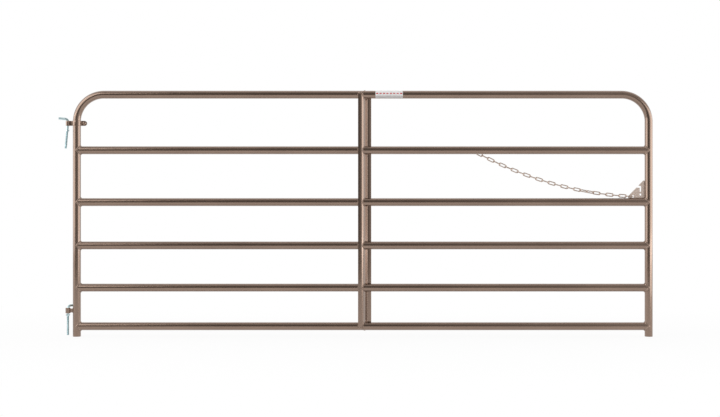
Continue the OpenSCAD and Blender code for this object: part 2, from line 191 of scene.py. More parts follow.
# Weld beads
RAIL_WELD_R = 0.0057
SMALL_WELD_R = 0.0022
END_WELD_R = 0.0055
WELD_PITCH = 0.0042
WELD_STEP = 0.0006
WELD_SIDES = 22
WELD_BASE_SHARE = 0.94
WELD_RIPPLE_SHARE = 0.06
WELD_UNEVEN_SHARE = 0.07
WELD_END_SHARE = 0.05
WELD_LEAST_STEPS = 8
JOINT_STEPS = 120

# How far beads sink in or stand off, in shares of their radius
RAIL_WELD_SINK_SHARE = 0.25
RAIL_WELD_FLUSH_SHARE = 0.38
FLANGE_WELD_LIFT_SHARE = 0.2
END_WELD_LIFT_SHARE = 0.6

# Where beads start and stop
FLANGE_WELD_REACH = 0.45 * TUBE_R
END_WELD_START = 0.001
END_WELD_STOP = 0.004
PLATE_WELD_TOE = 0.006
PLATE_WELD_CORNER = 0.002
PLATE_WELD_TIP = 0.012

# Seeds of the beads' unevenness
RAIL_SEED = 0
BRACE_SEED = 100
PLATE_FOOT_SEED = 200
PLATE_SIDE_SEED = 210
KEEPER_SEED = 230
EYE_SEED = 240
SEEDS_PER_RAIL = 10

# Camera: where the middle of the 720 by 417 picture falls on the gate, and how much it takes in
PICTURE_WIDTH_AT_GATE = 3.722
PICTURE_MIDDLE_X = 1.5096
PICTURE_MIDDLE_Z = 0.661
CAMERA_DISTANCE = 6.0
SENSOR = 36.0

# Stage
FLOOR_HALF = 9.0
FLOOR_FRONT = -4.4
FLOOR_BACK = 8.0
FLOOR_DROP = 0.0004
FLOOR_WHITE_SHARE = 0.92
FLOOR_WHITE_FROM = 0.1
FLOOR_WHITE_TO = 1.6
DARK_STUDIO = 0.165
DIM_STUDIO = 0.50
BACKDROP_LIGHT = 0.9

hoop_low, hoop_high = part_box("frame_hoop")
LEFT_X = hoop_low.x + TUBE_R
RIGHT_X = hoop_high.x - TUBE_R
TOP_Z = hoop_high.z - TUBE_R
MIDDLE_X = (LEFT_X + RIGHT_X) / 2
RAIL_NAMES = ("rail_2", "rail_3", "rail_4", "rail_5", "bottom_rail")


def middle(node):
    low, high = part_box(node)
    return (low + high) / 2


RAIL_Z = {name: middle(name).z for name in RAIL_NAMES}


# Materials


class Nodes:
    """A node tree, with short calls to add and join nodes."""

    def __init__(self, tree):
        self.tree = tree

    def feed(self, socket, value):
        """Links an output to a socket, or sets the socket's own value."""
        if isinstance(value, bpy.types.NodeSocket):
            self.tree.links.new(value, socket)
        else:
            socket.default_value = value

    def add(self, kind, inputs=None, **settings):
        node = self.tree.nodes.new(kind)
        for key, value in settings.items():
            setattr(node, key, value)
        for key, value in (inputs or {}).items():
            self.feed(node.inputs[key], value)
        return node

    def place(self, stretch=(1, 1, 1)):
        """Places on the object, in metres."""
        at = self.add("ShaderNodeTexCoord").outputs["Object"]
        return self.add("ShaderNodeMapping", {"Vector": at, "Scale": stretch}).outputs["Vector"]

    def axes(self, vector):
        return self.add("ShaderNodeSeparateXYZ", {"Vector": vector}).outputs

    def noise(self, scale, detail=3.0, roughness=0.5, stretch=(1, 1, 1)):
        inputs = {
            "Vector": self.place(stretch),
            "Scale": scale,
            "Detail": detail,
            "Roughness": roughness,
        }
        return self.add("ShaderNodeTexNoise", inputs).outputs["Fac"]

    def span(self, value, between, to, interpolation_type="LINEAR"):
        """A value between two numbers carried to two others, and held past both."""
        inputs = {
            "Value": value,
            "From Min": between[0],
            "From Max": between[1],
            "To Min": to[0],
            "To Max": to[1],
        }
        made = self.add("ShaderNodeMapRange", inputs, interpolation_type=interpolation_type)
        return made.outputs["Result"]

    def maths(self, operation, *values):
        inputs = dict(enumerate(values))
        return self.add("ShaderNodeMath", inputs, operation=operation).outputs[0]

    def mix(self, share, first, second):
        inputs = {0: share, 6: first, 7: second}
        return self.add("ShaderNodeMix", inputs, data_type="RGBA").outputs[2]

    def bump(self, height, strength, distance):
        inputs = {"Height": height, "Strength": strength, "Distance": distance}
        return self.add("ShaderNodeBump", inputs).outputs["Normal"]


class Shader(Nodes):
    """A new material, its node tree and its surface."""

    def __init__(self, name):
        self.material = bpy.data.materials.new(name)
        self.material.use_nodes = True
        super().__init__(self.material.node_tree)
        self.surface = self.tree.nodes["Principled BSDF"]

    def set(self, **inputs):
        for key, value in inputs.items():
            self.feed(self.surface.inputs[key.replace("_", " ")], value)


def paint_material(name, low, high, metallic, rough):
    """Enamel under a clear coat: faint cloudiness, orange peel, dust and a few fine scuffs."""
    dust_colour = (0.36, 0.30, 0.25, 1)
    s = Shader(name)
    cloud = s.span(s.noise(scale=3.0, detail=4), between=(0.35, 0.65), to=(0, 1))
    mottle = s.span(s.noise(scale=24, detail=4), between=(0.3, 0.7), to=(0, 0.18))
    dust = s.noise(scale=240, detail=8, roughness=0.7)
    dust = s.span(dust, between=(0.62, 0.75), to=(0, 0.04))
    scuff = s.noise(scale=55, detail=9, roughness=0.75, stretch=(1, 1, 0.25))
    scuff = s.span(scuff, between=(0.56, 0.72), to=(0, 1))
    peel = s.noise(scale=380, detail=2, roughness=0.4)
    base = s.mix(mottle, s.mix(cloud, low, high), low)
    s.set(
        Base_Color=s.mix(dust, base, dust_colour),
        Metallic=metallic,
        Roughness=s.span(scuff, between=(0, 1), to=(rough, rough + 0.08)),
        Normal=s.bump(peel, strength=0.015, distance=0.0003),
        IOR=1.5,
        Coat_Weight=1.0,
        Coat_Roughness=0.06,
    )
    return s.material


def zinc_material(name, dark, light, rough):
    """Zinc plating: cloudy passivation, small dull spots and a fine grain."""
    s = Shader(name)
    cloud = s.noise(scale=160, detail=5, roughness=0.6)
    cloud = s.span(cloud, between=(0.3, 0.7), to=(0, 1))
    spots = s.noise(scale=900, detail=4, roughness=0.7)
    spots = s.span(spots, between=(0.55, 0.7), to=(0, 0.6))
    s.set(
        Base_Color=s.mix(spots, s.mix(cloud, light, dark), dark),
        Metallic=1.0,
        Roughness=s.span(cloud, between=(0, 1), to=(rough, rough + 0.16)),
        Normal=s.bump(s.noise(scale=1400), strength=0.12, distance=0.0002),
    )
    return s.material


def label_material():
    """White vinyl with one plain broken red line along it, and painted shade greying it towards its
    lower edge.
    """
    bright, pale = (0.88, 0.88, 0.87, 1), (0.82, 0.81, 0.80, 1)
    painted_shade_grey, red = (0.56, 0.53, 0.52, 1), (0.60, 0.10, 0.11, 1)
    s = Shader("label_vinyl")
    low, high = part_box("label")
    place = s.axes(s.place())
    height = s.span(place["Z"], between=(low.z, high.z), to=(0, 1))
    dashes = s.span(place["X"], between=(low.x, high.x), to=(0, LABEL_DASHES))
    printed = s.maths("COMPARE", s.maths("FRACT", dashes), 0.5, LABEL_DASH_HALF_SHARE)
    row = s.maths("COMPARE", height, LABEL_LINE_HEIGHT_SHARE, LABEL_LINE_HALF_SHARE)
    grain = s.noise(scale=500, detail=4)
    white = s.mix(s.span(grain, between=(0.3, 0.7), to=(0, 1)), pale, bright)
    # Painted shade: the white turns grey towards the label's lower edge
    white = s.mix(s.span(height, between=(0.25, 0.40), to=(1, 0)), white, painted_shade_grey)
    s.set(
        Base_Color=s.mix(s.maths("MULTIPLY", printed, row), white, red),
        Roughness=s.span(grain, between=(0.3, 0.7), to=(0.28, 0.4)),
        Normal=s.bump(grain, strength=0.05, distance=0.0002),
    )
    return s.material


MATERIALS = {
    "brown_paint": paint_material(
        "brown_paint",
        low=(0.226, 0.148, 0.107, 1),
        high=(0.264, 0.177, 0.129, 1),
        metallic=0.86,
        rough=0.16,
    ),
    # Matte paint for the latch plate, much paler than the brown: its pale colour is a painted
    # highlight standing in for the bright reflection the plate catches
    "matte_paint_painted_highlight": paint_material(
        "matte_paint_painted_highlight",
        low=(0.52, 0.415, 0.35, 1),
        high=(0.60, 0.485, 0.415, 1),
        metallic=0.0,
        rough=0.42,
    ),
    "bright_zinc": zinc_material(
        "bright_zinc", dark=(0.32, 0.42, 0.44, 1), light=(0.70, 0.84, 0.86, 1), rough=0.13
    ),
    "chain_zinc": zinc_material(
        "chain_zinc", dark=(0.40, 0.29, 0.23, 1), light=(0.80, 0.69, 0.61, 1), rough=0.26
    ),
    "label_vinyl": label_material(),
}


# Mesh building


def ring_faces(rows, sides, closed=False):
    """Quads between rows of points that each go once round."""
    faces = []
    for i in range(rows if closed else rows - 1):
        here, there = i * sides, (i + 1) % rows * sides
        for j in range(sides):
            k = (j + 1) % sides
            faces.append((here + j, here + k, there + k, there + j))
    return faces


def shell(rings, closed=False):
    """A closed shell over rings of points: joined end to end, or capped at both ends."""
    rings = np.asarray(rings, float)
    rows, sides = rings.shape[:2]
    faces = ring_faces(rows, sides, closed)
    if not closed:
        faces.append(tuple(range(sides)))
        faces.append(tuple(range((rows - 1) * sides, rows * sides)))
    return rings.reshape(-1, 3), faces


def unit(vectors):
    return vectors / np.linalg.norm(vectors, axis=-1, keepdims=True)


def across_path(path, closed):
    """Two unit axes across each point of a path, turned no more than the path turns."""
    step = np.roll(path, -1, 0) - np.roll(path, 1, 0)
    if not closed:
        step[0] = path[1] - path[0]
        step[-1] = path[-1] - path[-2]
    along = unit(step)
    side = np.empty_like(path)
    carried = np.eye(3)[np.argmin(np.abs(along[0]))]
    for i, direction in enumerate(along):
        carried = unit(carried - direction * (carried @ direction))
        side[i] = carried
    return side, np.cross(along, side)


def turns(sides):
    return np.linspace(0, FULL_TURN, sides, endpoint=False)


def rod(path, radii, sides=ROD_SIDES, closed=False):
    """A round shell along a path, with one radius, one for each ring, or one for each point."""
    path = np.asarray(path, float)
    first, second = across_path(path, closed)
    radii = np.asarray(radii, float)
    if radii.ndim == 1:
        radii = radii[:, None]
    radii = np.broadcast_to(radii, (len(path), sides))
    round_it = np.cos(turns(sides))[None, :, None] * first[:, None]
    round_it = round_it + np.sin(turns(sides))[None, :, None] * second[:, None]
    return shell(path[:, None] + radii[..., None] * round_it, closed)


def line(start, end, count):
    return np.linspace(start, end, count)


def arc(centre, first, second, start, end, count):
    """Points of an arc about centre, from the axes first and second scaled by its radius."""
    angle = np.linspace(start, end, count)[:, None]
    first, second = np.asarray(first), np.asarray(second)
    return np.asarray(centre) + np.cos(angle) * first + np.sin(angle) * second


def flat_arc(centre, radius, start, end, count):
    """Points of an arc in a plane of two axes."""
    return arc(centre, (radius, 0), (0, radius), start, end, count)


def joined(*runs):
    """Runs of a path end to end, without the points that they share."""
    return np.concatenate([runs[0]] + [run[1:] for run in runs[1:]])


def piece(name, body, slot, shells, replaces=(), sharp_degrees=SHARP):
    """One mesh object made of closed shells, riding on a CAD body."""
    points, faces = [], []
    for shell_points, shell_faces in shells:
        start = len(points)
        points.extend(map(tuple, shell_points))
        faces.extend(tuple(start + i for i in face) for face in shell_faces)
    mesh = bpy.data.meshes.new(name)
    mesh.from_pydata(points, [], faces)
    finished(name, body, slot, mesh, replaces, sharp_degrees)


def finished(name, body, slot, mesh, replaces, sharp_degrees, material=None, flat_area=None):
    """Shades a mesh, gives it its material and makes it a piece that rides on a CAD body."""
    work = bmesh.new()
    work.from_mesh(mesh)
    bmesh.ops.recalc_face_normals(work, faces=work.faces)
    work.to_mesh(mesh)
    work.free()
    mesh.shade_smooth()
    mesh.set_sharp_from_angle(angle=math.radians(sharp_degrees))
    for face in mesh.polygons:
        if flat_area and face.area > flat_area:
            face.use_smooth = False
    mesh.materials.clear()
    mesh.materials.append(MATERIALS[material or slot])
    made = bpy.data.objects.new(name, mesh)
    bpy.context.scene.collection.objects.link(made)
    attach(made, body)
    if replaces:
        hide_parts(*replaces)


def rounded_copy(node, name, slot, width, rounded_from=ROUNDED_FROM, material=None):
    """A copy of a CAD node of the frame, with its flat faces whole and its sharp edges rounded."""
    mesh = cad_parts[node].data.copy()
    mesh.name = name
    work = bmesh.new()
    work.from_mesh(mesh)
    bmesh.ops.remove_doubles(work, verts=work.verts, dist=SAME_PLACE)
    bmesh.ops.dissolve_limit(
        work, angle_limit=SAME_PLANE, verts=work.verts, edges=work.edges
    )
    limit = math.radians(rounded_from)
    edges = [e for e in work.edges if e.is_manifold and e.calc_face_angle(0) > limit]
    bmesh.ops.bevel(
        work,
        geom=edges,
        offset=width,
        segments=EDGE_SEGMENTS,
        profile=0.5,
        affect="EDGES",
        clamp_overlap=True,
    )
    work.to_mesh(mesh)
    work.free()
    finished(name, "gate_frame", slot, mesh, (node,), SHARP_ON_PLATE, material, FLAT_FACE)


# Weld beads


def weld_piece(name, beads):
    piece(name, "gate_frame", "brown_paint", beads, sharp_degrees=SHARP_ON_WELD)


def resampled(path, step, closed):
    """The same path with points an even step apart, and the distance of each from its start."""
    path = np.asarray(path, float)
    if closed:
        path = np.concatenate([path, path[:1]])
    steps = np.linalg.norm(np.diff(path, axis=0), axis=1)
    length = np.concatenate([[0], np.cumsum(steps)])
    count = max(int(length[-1] / step), WELD_LEAST_STEPS)
    distance = np.linspace(0, length[-1], count + 1)
    if closed:
        distance = distance[:-1]
    points = np.stack([np.interp(distance, length, path[:, k]) for k in range(3)], axis=1)
    return points, distance, length[-1]


def weld(path, radius, seed, closed=False):
    """A bead laid in short overlapping ripples, a little uneven, thinning at open ends."""
    points, distance, length = resampled(path, WELD_STEP, closed)
    chance = np.random.default_rng(seed)
    ripples = max(round(length / WELD_PITCH), 2)
    phase = distance / length * ripples
    uneven = chance.uniform(-1, 1, ripples + 1)
    uneven[-1] = uneven[0]
    swell = np.interp(phase, np.arange(ripples + 1), uneven)
    ripple = np.abs(np.sin(math.pi * phase))
    radii = radius * (WELD_BASE_SHARE + WELD_RIPPLE_SHARE * ripple + WELD_UNEVEN_SHARE * swell)
    if not closed:
        from_end = np.minimum(distance, length - distance) / radius
        radii = radii * np.sqrt(np.clip(from_end, WELD_END_SHARE, 1))
    return rod(points, radii, WELD_SIDES, closed)


def straight_weld(start, end, radius, seed):
    return weld(np.array([start, end]), radius, seed)


def upright_face(y):
    """How far from an upright's middle its surface is, welding gap included, at each y."""
    return np.sqrt((TUBE_R + WELD_GAP) ** 2 - y**2)


def saddle(upright_x, side, height):
    """A bead's middle where a rail meets an upright, sunk deepest where the tubes run flush."""
    angle = turns(JOINT_STEPS)
    flat = np.zeros(JOINT_STEPS)
    y, z = TUBE_R * np.cos(angle), TUBE_R * np.sin(angle)
    reach = side * upright_face(y)
    joint = np.stack([upright_x + reach, y, height + z], axis=1)
    off_upright = np.stack([reach, y, flat], axis=1) / (TUBE_R + WELD_GAP)
    off_rail = np.stack([flat, y, z], axis=1) / TUBE_R
    outward = unit(off_upright + off_rail)
    flush = (off_upright * off_rail).sum(axis=1)[:, None]
    return joint - outward * RAIL_WELD_R * (RAIL_WELD_SINK_SHARE + RAIL_WELD_FLUSH_SHARE * flush)


# Frame


def hoop_path():
    """Up one upright, over and down the other, with how far into a bend each point is."""
    corner_z = TOP_Z - CORNER_R
    left = (LEFT_X + CORNER_R, 0, corner_z)
    right = (RIGHT_X - CORNER_R, 0, corner_z)
    across, up = (CORNER_R, 0, 0), (0, 0, CORNER_R)
    runs = (
        line((LEFT_X, 0, 0), (LEFT_X, 0, RIM_ROUND), 2),
        line((LEFT_X, 0, RIM_ROUND), (LEFT_X, 0, corner_z), UPRIGHT_STEPS),
        arc(left, across, up, math.pi, QUARTER, BEND_STEPS),
        line((left[0], 0, TOP_Z), (right[0], 0, TOP_Z), TOP_STEPS),
        arc(right, across, up, QUARTER, 0, BEND_STEPS),
        line((RIGHT_X, 0, corner_z), (RIGHT_X, 0, RIM_ROUND), UPRIGHT_STEPS),
        line((RIGHT_X, 0, RIM_ROUND), (RIGHT_X, 0, 0), 2),
    )
    path = joined(*runs)
    bend = np.zeros(len(path))
    for corner in (2, 4):
        start = sum(len(run) - 1 for run in runs[:corner])
        bend[start : start + BEND_STEPS] = np.sqrt(np.sin(np.linspace(0, math.pi, BEND_STEPS)))
    return path, bend


def frame_hoop():
    """One bent tube, open at both feet, a little flattened in its bends."""
    path, bend = hoop_path()
    along = unit(np.gradient(path, axis=0))
    outward = np.stack([-along[:, 2], np.zeros(len(path)), along[:, 0]], axis=1)
    angle = turns(TUBE_SIDES)[None, :, None]

    def rings(radius, rim):
        radii = np.full(len(path), radius)
        radii[0] = radii[-1] = radius + rim
        flat = (radii * (1 - BEND_FLATTENING_SHARE * bend))[:, None, None]
        wide = (radii * (1 + BEND_WIDENING_SHARE * bend))[:, None, None]
        off_middle = flat * np.cos(angle) * outward[:, None] + wide * np.sin(angle) * BACK
        return path[:, None] + off_middle

    outside = rings(TUBE_R, -RIM_ROUND)
    inside = rings(TUBE_R - TUBE_WALL, RIM_ROUND)
    tube = shell(np.concatenate([outside, inside[::-1]]), closed=True)
    piece("frame_hoop_tube", "gate_frame", "brown_paint", [tube], ["frame_hoop"])


def rail(name):
    """A tube whose ends are coped to the uprights, with a bead all round each."""
    height = RAIL_Z[name]
    angle = turns(TUBE_SIDES)

    def ring(upright_x, side, radius):
        y = radius * np.cos(angle)
        x = upright_x + side * upright_face(y)
        return np.stack([x, y, height + radius * np.sin(angle)], axis=1)

    def rings(radius):
        return line(ring(LEFT_X, 1, radius), ring(RIGHT_X, -1, radius), RAIL_STEPS)

    outside, inside = rings(TUBE_R), rings(TUBE_R - TUBE_WALL)
    tube = shell(np.concatenate([outside, inside[::-1]]), closed=True)
    piece(name + "_tube", "gate_frame", "brown_paint", [tube], [name])
    seed = RAIL_SEED + RAIL_NAMES.index(name) * SEEDS_PER_RAIL
    for end, upright_x, side in (("hinge_end", LEFT_X, 1), ("latch_end", RIGHT_X, -1)):
        bead = weld(saddle(upright_x, side, height), RAIL_WELD_R, seed + 1 + side, closed=True)
        weld_piece(f"{name}_{end}_weld", [bead])


# Centre brace

brace_low, brace_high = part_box("centre_brace")
FLANGE_Y = (brace_high.y - brace_low.y - BRACE_SHEET) / 2
FRONT_FOLD_X = brace_low.x + BRACE_FRONT_FLANGE
REAR_FOLD_X = FRONT_FOLD_X + 2 * FLANGE_Y / math.tan(BRACE_WEB_ANGLE)


def brace_face(offset):
    """One face of the folded sheet from front edge to rear edge, seen from above."""
    tangent = math.tan(BRACE_WEB_ANGLE / 2)
    front_x = FRONT_FOLD_X - BRACE_FRONT_BEND * tangent
    rear_x = REAR_FOLD_X + BRACE_REAR_BEND * tangent
    front = flat_arc(
        (front_x, BRACE_FRONT_BEND - FLANGE_Y),
        BRACE_FRONT_BEND - offset,
        -QUARTER,
        BRACE_WEB_ANGLE - QUARTER,
        FOLD_STEPS,
    )
    rear = flat_arc(
        (rear_x, FLANGE_Y - BRACE_REAR_BEND),
        BRACE_REAR_BEND + offset,
        BRACE_WEB_ANGLE + QUARTER,
        QUARTER,
        FOLD_STEPS,
    )
    return np.concatenate([front, rear])


def brace_profile():
    """The folded sheet seen from above, with its two edges rounded."""
    half = BRACE_SHEET / 2
    front_edge = (brace_low.x + half, -FLANGE_Y)
    rear_edge = (brace_high.x - half, FLANGE_Y)
    return np.concatenate([
        flat_arc(front_edge, half, 3 * QUARTER, QUARTER, EDGE_STEPS),
        brace_face(half),
        flat_arc(rear_edge, half, QUARTER, -QUARTER, EDGE_STEPS),
        brace_face(-half)[::-1],
    ])


def centre_brace():
    profile = brace_profile()
    rings = [
        np.column_stack([profile, np.full(len(profile), height)])
        for height in line(brace_low.z, brace_high.z, BRACE_STEPS)
    ]
    piece("centre_brace_sheet", "gate_frame", "brown_paint", [shell(rings)], ["centre_brace"])
    for i, (name, height) in enumerate([("top_rail", TOP_Z), *RAIL_Z.items()]):
        brace_welds(name, height, BRACE_SEED + SEEDS_PER_RAIL * i)


def brace_welds(name, height, seed):
    """Beads where a rail passes through the web, touches the flanges and meets an end of the brace."""
    angle = turns(JOINT_STEPS)
    y = TUBE_R * np.cos(angle)
    x = FRONT_FOLD_X + (y + FLANGE_Y) / (2 * FLANGE_Y) * (REAR_FOLD_X - FRONT_FOLD_X)
    web = np.stack([x, y, height + TUBE_R * np.sin(angle)], axis=1)
    beads = [weld(web, SMALL_WELD_R, seed, closed=True)]
    low = max(height - FLANGE_WELD_REACH, brace_low.z)
    high = min(height + FLANGE_WELD_REACH, brace_high.z)
    contact = TUBE_R + SMALL_WELD_R * FLANGE_WELD_LIFT_SHARE
    for side, edge_x in ((-1, brace_low.x), (1, brace_high.x)):
        start, end = (edge_x, side * contact, low), (edge_x, side * contact, high)
        beads.append(straight_weld(start, end, SMALL_WELD_R, seed + 2 + side))
    for side, end_z in ((1, brace_high.z), (-1, brace_low.z)):
        overrun = abs(end_z - height)
        if overrun < TUBE_R:
            beads.append(end_bead(height, side, overrun, seed + 5))
    weld_piece(f"brace_{name}_weld", beads)


def end_bead(height, side, overrun, seed):
    """A fat bead over the end of the front flange, on the rail that it ends at."""
    above = overrun + END_WELD_R * END_WELD_LIFT_SHARE
    y = -math.sqrt(TUBE_R**2 - above**2)
    z = height + side * above
    start = (brace_low.x + END_WELD_START, y, z)
    end = (FRONT_FOLD_X - END_WELD_STOP, y, z)
    return straight_weld(start, end, END_WELD_R, seed)


# Latch plate, chain and keeper


def latch_plate():
    # The plate gets the pale matte paint, whose lightness is a painted highlight
    rounded_copy(
        "latch_plate", "latch_plate_cut", "brown_paint", PLATE_EDGE, material="matte_paint_painted_highlight"
    )
    low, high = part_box("latch_plate")
    toe_x, corner_x = low.x + PLATE_WELD_TOE, high.x - PLATE_WELD_CORNER
    corner_z, tip_z = low.z + PLATE_WELD_CORNER, high.z - PLATE_WELD_TIP
    beads = []
    for k, y in enumerate((low.y, high.y)):
        along = ((toe_x, y, low.z), (corner_x, y, low.z))
        beads.append(straight_weld(*along, SMALL_WELD_R, PLATE_FOOT_SEED + k))
        up = ((high.x, y, corner_z), (high.x, y, tip_z))
        beads.append(straight_weld(*up, SMALL_WELD_R, PLATE_SIDE_SEED + k))
    weld_piece("latch_plate_weld", beads)


def link_axes(node):
    """A link's middle, and its length and width directions, from the spread of its surface."""
    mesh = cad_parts[node].data
    mesh.calc_loop_triangles()
    points = np.array([v.co for v in mesh.vertices])
    corners = points[np.array([t.vertices for t in mesh.loop_triangles])]
    edges = corners[:, 1:] - corners[:, :1]
    area = np.linalg.norm(np.cross(edges[:, 0], edges[:, 1]), axis=1)[:, None]
    spots = corners.mean(axis=1)
    centre = (spots * area).sum(0) / area.sum()
    spread = (spots - centre).T @ ((spots - centre) * area)
    axes = np.linalg.eigh(spread)[1]
    return centre, axes[:, 2], axes[:, 1]


def chain_link(node):
    """A bent wire link with the swelling of its butt weld on one side."""
    centre, lengthwise, widthwise = link_axes(node)
    r = (LINK_INSIDE_WIDTH + 2 * LINK_WIRE_R) / 2
    half = (LINK_INSIDE_LENGTH - LINK_INSIDE_WIDTH) / 2
    outline = joined(
        line((-half, -r), (half, -r), LINK_SIDE_STEPS),
        flat_arc((half, 0), r, -QUARTER, QUARTER, LINK_END_STEPS),
        line((half, r), (-half, r), LINK_SIDE_STEPS),
        flat_arc((-half, 0), r, QUARTER, 3 * QUARTER, LINK_END_STEPS),
    )[:-1]
    path = centre + outline[:, :1] * lengthwise + outline[:, 1:] * widthwise
    from_weld = (outline[:, 0] / LINK_WIRE_R) ** 2
    on_weld_side = outline[:, 1] <= -r + SAME_PLACE
    swell = np.where(on_weld_side, np.exp(-LINK_WELD_FALL * from_weld), 0)
    wire = rod(path, LINK_WIRE_R * (1 + LINK_WELD_SWELL_SHARE * swell), LINK_SIDES, closed=True)
    piece(node + "_wire", "latch_chain", "chain_zinc", [wire], [node])


def latch_chain():
    for node in sorted(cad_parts):
        if node.startswith("chain_link_"):
            chain_link(node)


def chain_keeper():
    """A bent rod on the back of the second rail, with its tip turned up."""
    low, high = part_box("chain_keeper")
    r = (high.x - low.x) / 2
    x, z = (low.x + high.x) / 2, low.z + r
    tip_y = high.y - r
    elbow_y = tip_y - KEEPER_BEND
    elbow_z = z + KEEPER_BEND
    tip_z = high.z - r * KEEPER_TIP_ROUND_SHARE
    back, up = (0, KEEPER_BEND, 0), (0, 0, KEEPER_BEND)
    path = joined(
        line((x, low.y, z), (x, elbow_y, z), KEEPER_STRAIGHT_STEPS),
        arc((x, elbow_y, elbow_z), back, up, -QUARTER, 0, KEEPER_BEND_STEPS),
        line((x, tip_y, elbow_z), (x, tip_y, tip_z), KEEPER_RISE_STEPS),
        line((x, tip_y, tip_z), (x, tip_y, high.z), KEEPER_TIP_STEPS),
    )
    radii = np.full(len(path), r)
    radii[-2:] *= KEEPER_TIP_RADIUS_SHARES
    piece("chain_keeper_rod", "gate_frame", "brown_paint", [rod(path, radii)], ["chain_keeper"])
    foot_middle = (x, TUBE_R * KEEPER_FOOT_SHARE, z)
    foot = arc(foot_middle, (r, 0, 0), (0, 0, r), 0, FULL_TURN, KEEPER_FOOT_STEPS)[:-1]
    weld_piece("chain_keeper_weld", [weld(foot, KEEPER_WELD_R, KEEPER_SEED, closed=True)])


# Threads, nuts and turned rings


def placed(points, origin, x_axis, z_axis):
    """Points of a piece's own frame carried to an origin and two of its axes."""
    x_axis, z_axis = np.asarray(x_axis, float), np.asarray(z_axis, float)
    y_axis = np.cross(z_axis, x_axis)
    return np.asarray(origin) + points @ np.stack([x_axis, y_axis, z_axis])


def thread_depth(distance, angle, pitch, depth):
    """How deep a helical groove is at each distance along a rod and angle round it."""
    phase = (distance[:, None] / pitch - angle[None, :] / FULL_TURN) % 1
    return depth * np.clip(THREAD_FLANK * np.abs(2 * phase - 1) - THREAD_CREST, 0, 1)


def threaded(start, direction, length, radius, pitch, depth):
    """Ring places and radii of a threaded run, fading in over its first turns."""
    count = int(length / pitch * THREAD_RINGS_PER_TURN)
    distance = np.linspace(0, length, count)
    fade = np.clip(distance / (THREAD_FADE_TURNS * pitch), 0, 1)[:, None]
    radii = radius - fade * thread_depth(distance, turns(THREAD_SIDES), pitch, depth)
    points = np.asarray(start) + distance[:, None] * np.asarray(direction)
    return points, radii


def round_rows(count, radius):
    return np.full((count, THREAD_SIDES), radius)


def turned_rings(rows, sides, origin, x_axis, z_axis):
    """A closed shell over rings about z_axis, each with its radius and height, even or not."""
    angle = turns(sides)
    rings = [
        np.stack([r * np.cos(angle), r * np.sin(angle), np.broadcast_to(h, sides)], axis=1)
        for r, h in rows
    ]
    points, faces = shell(rings, closed=True)
    return placed(points, origin, x_axis, z_axis), faces


def hex_nut(flats, height, bore, origin, x_axis, z_axis):
    """A nut from its foot up, both faces chamfered down to its corners."""
    to_flat = (turns(NUT_SIDES) + math.pi / 6) % (math.pi / 3) - math.pi / 6
    hexagon = flats / 2 / np.cos(to_flat)
    face = flats / 2 * NUT_FACE_SHARE
    drop = (hexagon - face) * math.tan(NUT_CHAMFER)
    rows = (
        (bore, NUT_LEAD_IN),
        (bore + NUT_LEAD_IN, 0),
        (face, 0),
        (hexagon, drop),
        (hexagon, height - drop),
        (face, height),
        (bore + NUT_LEAD_IN, height),
        (bore, height - NUT_LEAD_IN),
    )
    return turned_rings(rows, NUT_SIDES, origin, x_axis, z_axis)


def soft_ring(bore, outside, height, soft, origin, x_axis, z_axis):
    """A short tube from its foot up, with all its rims softened."""
    rows = (
        (bore, soft),
        (bore + soft, 0),
        (outside - soft, 0),
        (outside, soft),
        (outside, height - soft),
        (outside - soft, height),
        (bore + soft, height),
        (bore, height - soft),
    )
    return turned_rings(rows, RING_SIDES, origin, x_axis, z_axis)


# Hooks


def elbow_start(eye_length, lean):
    """Height over an eye's middle at which a hook's elbow starts, resting on the eye's rim."""
    rim_x = EYE_BORE_R * math.cos(lean) + eye_length / 2 * math.sin(lean)
    rim_z = eye_length / 2 * math.cos(lean) - EYE_BORE_R * math.sin(lean)
    inset = max(HOOK_BEND - rim_x, 0)
    drop = math.sqrt(max((HOOK_BEND - HOOK_R) ** 2 - inset**2, 0))
    return rim_z + HOOK_SEAT_ROOM - drop


def hook_axes(turn, lean):
    """Directions of a hook's arm and of its shank upwards."""
    level = np.array([math.cos(turn), math.sin(turn), 0])
    up = np.array(UP)
    along_arm = math.cos(lean) * level + math.sin(lean) * up
    up_shank = math.cos(lean) * up - math.sin(lean) * level
    return along_arm, up_shank


def hook_rod(elbow_z, thread_top):
    """A hook in its own frame: shank down from the elbow, threaded below thread_top, and arm."""
    foot = elbow_z - (HOOK_LENGTH - HOOK_BEND)
    arm_z = elbow_z + HOOK_BEND
    arm_end = HOOK_ARM - HOOK_CHAMFER
    thread, thread_radii = threaded(
        (0, 0, thread_top),
        (0, 0, -1),
        thread_top - foot - HOOK_CHAMFER,
        HOOK_THREAD_R,
        HOOK_THREAD_PITCH,
        HOOK_THREAD_DEPTH,
    )
    across, up = (HOOK_BEND, 0, 0), (0, 0, HOOK_BEND)
    plain = joined(
        line((0, 0, thread_top + HOOK_THREAD_JOIN), (0, 0, elbow_z), HOOK_STRAIGHT_STEPS),
        arc((HOOK_BEND, 0, elbow_z), across, up, math.pi, QUARTER, HOOK_BEND_STEPS),
        line((HOOK_BEND, 0, arm_z), (arm_end, 0, arm_z), HOOK_ARM_STEPS),
    )
    path = np.concatenate([[(0, 0, foot)], thread[::-1], plain, [(HOOK_ARM, 0, arm_z)]])
    radii = np.concatenate([
        round_rows(1, HOOK_THREAD_R - HOOK_CHAMFER),
        thread_radii[::-1],
        round_rows(len(plain), HOOK_R),
        round_rows(1, HOOK_R - HOOK_CHAMFER),
    ])
    return rod(path, radii, THREAD_SIDES)


